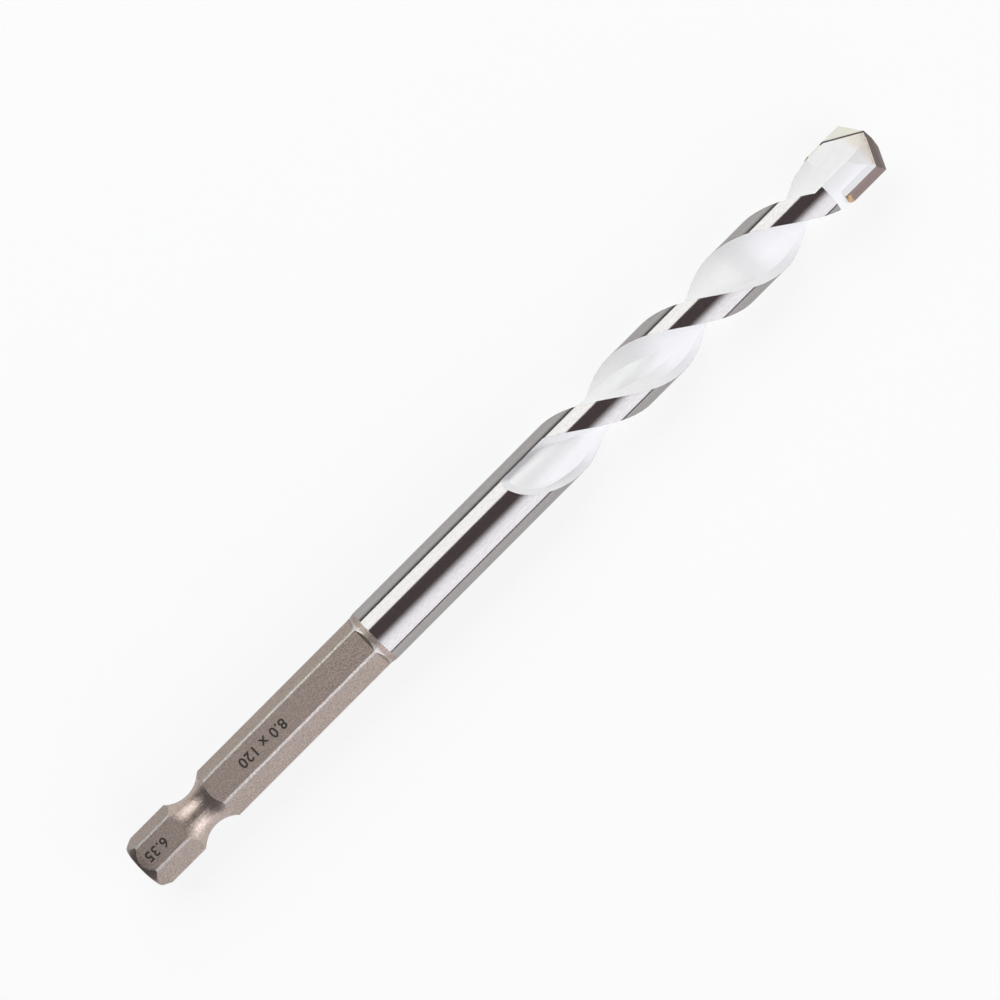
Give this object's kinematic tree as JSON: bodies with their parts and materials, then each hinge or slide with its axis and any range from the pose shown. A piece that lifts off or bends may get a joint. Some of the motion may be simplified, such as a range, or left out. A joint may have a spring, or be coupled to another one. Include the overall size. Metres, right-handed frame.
{
  "type": "drill bit",
  "caption": "Right-hand twist drill bit for mixed materials, with a brazed carbide cutting plate and a quarter-inch hex shank with a latch groove.",
  "frame": {"origin": "centre of the shank end face", "axes": "+X along the bit from the shank end to the point, +Z square to one flat of the hex shank"},
  "size_m": [0.12, 0.0078, 0.0074],
  "materials": {
    "steel": "satin grey shank and flutes, polished round body",
    "carbide": "ground tungsten carbide",
    "braze": "braze alloy, as melted"
  },
  "bodies": {
    "root": {"bit_body": "steel", "carbide_plate": "carbide", "braze_seam": "braze"}
  },
  "joints": []
}
